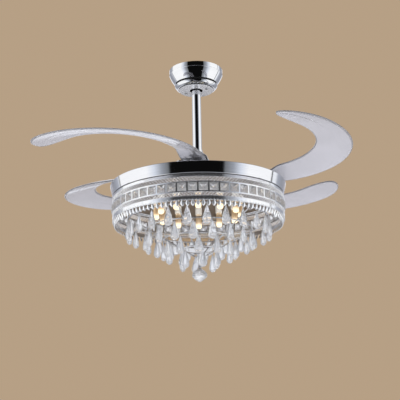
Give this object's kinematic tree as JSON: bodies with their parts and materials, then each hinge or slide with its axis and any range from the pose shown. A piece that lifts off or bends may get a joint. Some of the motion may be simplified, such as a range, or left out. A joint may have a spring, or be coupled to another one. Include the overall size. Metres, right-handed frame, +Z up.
{
  "type": "ceiling fan",
  "caption": "Hanging ceiling fan with curved clear blades that fold in over a crystal drum lamp.",
  "frame": {"origin": "centre of the hanger bracket's top face, on the ceiling plane and the rod's axis", "axes": "+Z up into the ceiling, along the rod; +X towards the viewer's right in the picture; -Y towards the viewer"},
  "size_m": [0.8728, 0.8728, 0.6318],
  "materials": {
    "chrome": "polished",
    "pierced_chrome": "polished, pierced",
    "zinc_steel": "zinc plated",
    "dark_steel": "satin black",
    "electrical_steel": "bare, laminated",
    "copper": "enamelled wire",
    "housing": "silver paint",
    "bearing_steel": "ground",
    "nylon": "satin",
    "clear_acrylic": "clear, polished",
    "socket_ceramic": "glazed",
    "bulb_glass": "frosted, warm white",
    "box_plastic": "satin",
    "crystal": "cut and polished"
  },
  "bodies": {
    "ceiling_mount": {"hanger_bracket": "zinc_steel", "canopy_bowl": "chrome", "canopy_cover": "chrome", "canopy_screws": "zinc_steel"},
    "stem": {"hanger_ball": "dark_steel", "rod_pins": "zinc_steel", "down_rod": "chrome", "coupling_cover": "chrome", "coupling_sleeve": "dark_steel", "motor_shaft": "bearing_steel", "stator_core": "electrical_steel", "stator_coils": "copper", "lamp_pan": "housing", "shaft_nut": "zinc_steel", "pan_screws": "zinc_steel", "polished_ring": "chrome", "upper_band": "pierced_chrome", "stone_band": "pierced_chrome", "square_stones": "crystal", "lower_band": "pierced_chrome", "petal_fringe": "pierced_chrome", "lamp_plate": "chrome", "lamp_sockets": "socket_ceramic", "lamp_bulbs": "bulb_glass", "driver_box": "box_plastic", "crystal_frame": "chrome", "drops_tier_1": "crystal", "drops_tier_2": "crystal", "drops_tier_3": "crystal", "drops_tier_4": "crystal"},
    "rotor": {"motor_housing_lower": "housing", "motor_housing_upper": "housing", "magnet_ring": "electrical_steel", "motor_bearings": "bearing_steel", "motor_screws": "zinc_steel", "blade_carrier": "zinc_steel", "carrier_screws": "zinc_steel", "pivot_pins": "zinc_steel", "pivot_nuts": "zinc_steel", "return_springs": "dark_steel", "stop_studs": "zinc_steel"},
    "gear_ring": {"sync_ring_gear": "nylon"},
    "finial": {"finial_cap": "chrome", "finial_ball": "crystal"},
    "blade_unit_1": {"blade_gear_1": "nylon", "blade_arm_1": "housing", "blade_screws_1": "zinc_steel", "blade_1": "clear_acrylic"},
    "blade_unit_2": {"blade_gear_2": "nylon", "blade_arm_2": "housing", "blade_screws_2": "zinc_steel", "blade_2": "clear_acrylic"},
    "blade_unit_3": {"blade_gear_3": "nylon", "blade_arm_3": "housing", "blade_screws_3": "zinc_steel", "blade_3": "clear_acrylic"},
    "blade_unit_4": {"blade_gear_4": "nylon", "blade_arm_4": "housing", "blade_screws_4": "zinc_steel", "blade_4": "clear_acrylic"}
  },
  "joints": [
    {"name": "hanger_swing", "type": "hinge", "parent": "ceiling_mount", "child": "stem", "pos_m": [0, 0, -0.032], "axis": [1, 0, 0], "range_deg": [-8, 8]},
    {"name": "rotor_spin", "type": "hinge", "parent": "stem", "child": "rotor", "pos_m": [0, 0, -0.325], "axis": [0, 0, 1], "continuous": true},
    {"name": "blade_1_swing", "type": "hinge", "parent": "rotor", "child": "blade_unit_1", "pos_m": [0.15821, -0.04686, -0.337], "axis": [0, 0, 1], "range_deg": [-106, 0], "stiffness_Nm_per_rad": 0.08, "springref_deg": -166.16},
    {"name": "blade_2_swing", "type": "hinge", "parent": "rotor", "child": "blade_unit_2", "pos_m": [0.04686, 0.15821, -0.337], "axis": [0, 0, 1], "range_deg": [-106, 0], "stiffness_Nm_per_rad": 0.08, "springref_deg": -166.16},
    {"name": "blade_3_swing", "type": "hinge", "parent": "rotor", "child": "blade_unit_3", "pos_m": [-0.15821, 0.04686, -0.337], "axis": [0, 0, 1], "range_deg": [-106, 0], "stiffness_Nm_per_rad": 0.08, "springref_deg": -166.16},
    {"name": "blade_4_swing", "type": "hinge", "parent": "rotor", "child": "blade_unit_4", "pos_m": [-0.04686, -0.15821, -0.337], "axis": [0, 0, 1], "range_deg": [-106, 0], "stiffness_Nm_per_rad": 0.08, "springref_deg": -166.16},
    {"name": "gear_ring_turn", "type": "hinge", "parent": "rotor", "child": "gear_ring", "pos_m": [0, 0, -0.341], "axis": [0, 0, 1], "range_deg": [0, 34]},
    {"name": "finial_swing", "type": "hinge", "parent": "stem", "child": "finial", "pos_m": [0, 0, -0.585], "axis": [1, 0, 0], "range_deg": [-15, 15]}
  ],
  "couplings": [
    {"joint": "blade_2_swing", "follows": "blade_1_swing", "ratio": 1},
    {"joint": "blade_3_swing", "follows": "blade_1_swing", "ratio": 1},
    {"joint": "blade_4_swing", "follows": "blade_1_swing", "ratio": 1},
    {"joint": "gear_ring_turn", "follows": "blade_1_swing", "ratio": -0.32}
  ]
}
